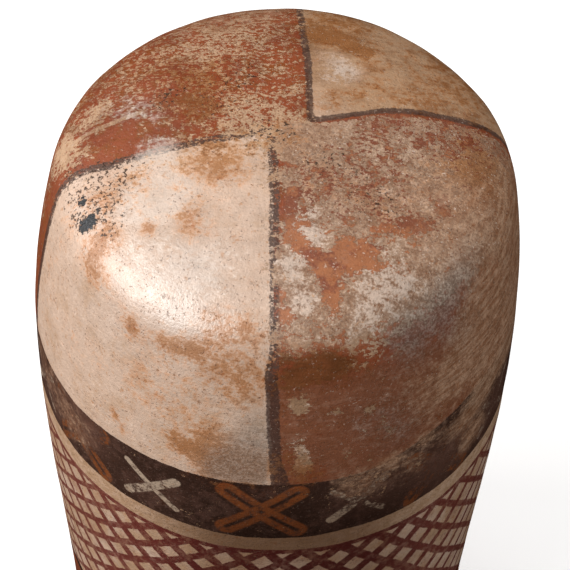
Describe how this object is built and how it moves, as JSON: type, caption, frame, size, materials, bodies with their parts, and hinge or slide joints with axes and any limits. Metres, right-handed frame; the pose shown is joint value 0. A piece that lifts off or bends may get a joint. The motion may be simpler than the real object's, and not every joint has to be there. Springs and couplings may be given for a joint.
{
  "type": "painted pottery vessel",
  "caption": "Hollow fired-clay beaker vessel with a rounded base, full shoulder and gently narrowing wall, standing on its mouth with its painted base up.",
  "frame": {"origin": "centre of the mouth, on the plane that the rim stands on", "axes": "+Z along the vessel's axis from the mouth to the base, which faces up; -Y towards the side that the picture shows"},
  "size_m": [0.13, 0.13, 0.215],
  "materials": {
    "painted_earthenware": "low-fired earthenware under burnished red, cream and dark brown slip, worn matt with pits, stains and bare clay showing"
  },
  "bodies": {
    "root": {"vessel": "painted_earthenware"}
  },
  "joints": []
}
